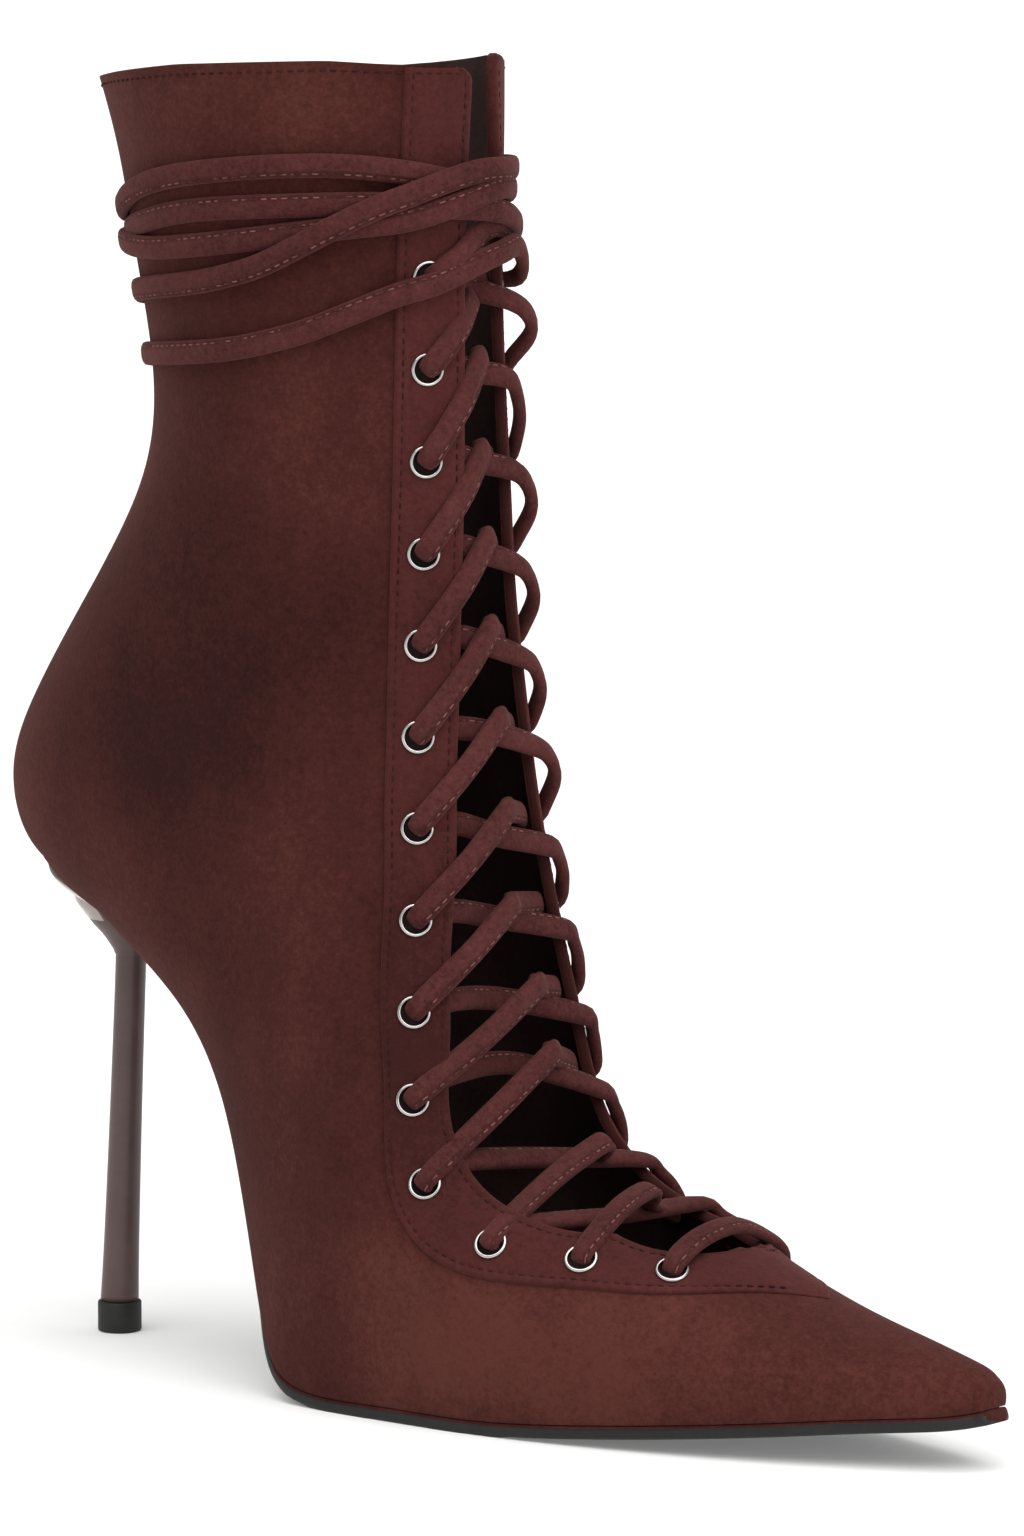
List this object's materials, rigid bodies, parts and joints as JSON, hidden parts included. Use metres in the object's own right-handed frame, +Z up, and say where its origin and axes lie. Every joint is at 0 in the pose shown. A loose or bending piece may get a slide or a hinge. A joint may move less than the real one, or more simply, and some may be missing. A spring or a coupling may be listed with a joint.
{
  "type": "lace-up ankle boot",
  "caption": "Pointed suede ankle boot on a tall pin heel, laced up an open front through metal eyelets, with the lace ends wound round the shaft.",
  "frame": {"origin": "middle of the boot's length and width, on the floor it stands on", "axes": "+X towards the toe, +Y towards the inner (medial) side, +Z up"},
  "size_m": [0.2522, 0.0766, 0.273],
  "materials": {
    "suede": "dark burgundy suede with a soft nap",
    "facing_suede": "the same suede, folded and stitched at its edges",
    "sole_leather": "black sole with a satin edge",
    "lining": "dark grey-brown lining",
    "heel_lacquer": "dark mauve-brown satin lacquer",
    "tip_rubber": "matt black",
    "lace_suede": "folded suede cord with a row of stitches",
    "eyelet_nickel": "polished nickel"
  },
  "bodies": {
    "root": {"upper": "suede", "eyestay": "facing_suede", "outsole": "sole_leather", "insole": "lining", "heel": "heel_lacquer", "heel_tip": "tip_rubber", "lace_bar": "lace_suede", "lace_crossing_01": "lace_suede", "lace_crossing_02": "lace_suede", "lace_crossing_03": "lace_suede", "lace_crossing_04": "lace_suede", "lace_crossing_05": "lace_suede", "lace_crossing_06": "lace_suede", "lace_crossing_07": "lace_suede", "lace_crossing_08": "lace_suede", "lace_crossing_09": "lace_suede", "lace_crossing_10": "lace_suede", "lace_crossing_11": "lace_suede", "lace_crossing_12": "lace_suede", "lace_wrap_near": "lace_suede", "lace_wrap_far": "lace_suede", "eyelet_lateral_01": "eyelet_nickel", "eyelet_lateral_02": "eyelet_nickel", "eyelet_lateral_03": "eyelet_nickel", "eyelet_lateral_04": "eyelet_nickel", "eyelet_lateral_05": "eyelet_nickel", "eyelet_lateral_06": "eyelet_nickel", "eyelet_lateral_07": "eyelet_nickel", "eyelet_lateral_08": "eyelet_nickel", "eyelet_lateral_09": "eyelet_nickel", "eyelet_lateral_10": "eyelet_nickel", "eyelet_lateral_11": "eyelet_nickel", "eyelet_lateral_12": "eyelet_nickel", "eyelet_lateral_13": "eyelet_nickel", "eyelet_lateral_14": "eyelet_nickel", "eyelet_medial_01": "eyelet_nickel", "eyelet_medial_02": "eyelet_nickel", "eyelet_medial_03": "eyelet_nickel", "eyelet_medial_04": "eyelet_nickel", "eyelet_medial_05": "eyelet_nickel", "eyelet_medial_06": "eyelet_nickel", "eyelet_medial_07": "eyelet_nickel", "eyelet_medial_08": "eyelet_nickel", "eyelet_medial_09": "eyelet_nickel", "eyelet_medial_10": "eyelet_nickel", "eyelet_medial_11": "eyelet_nickel", "eyelet_medial_12": "eyelet_nickel", "eyelet_medial_13": "eyelet_nickel", "eyelet_medial_14": "eyelet_nickel"}
  },
  "joints": []
}
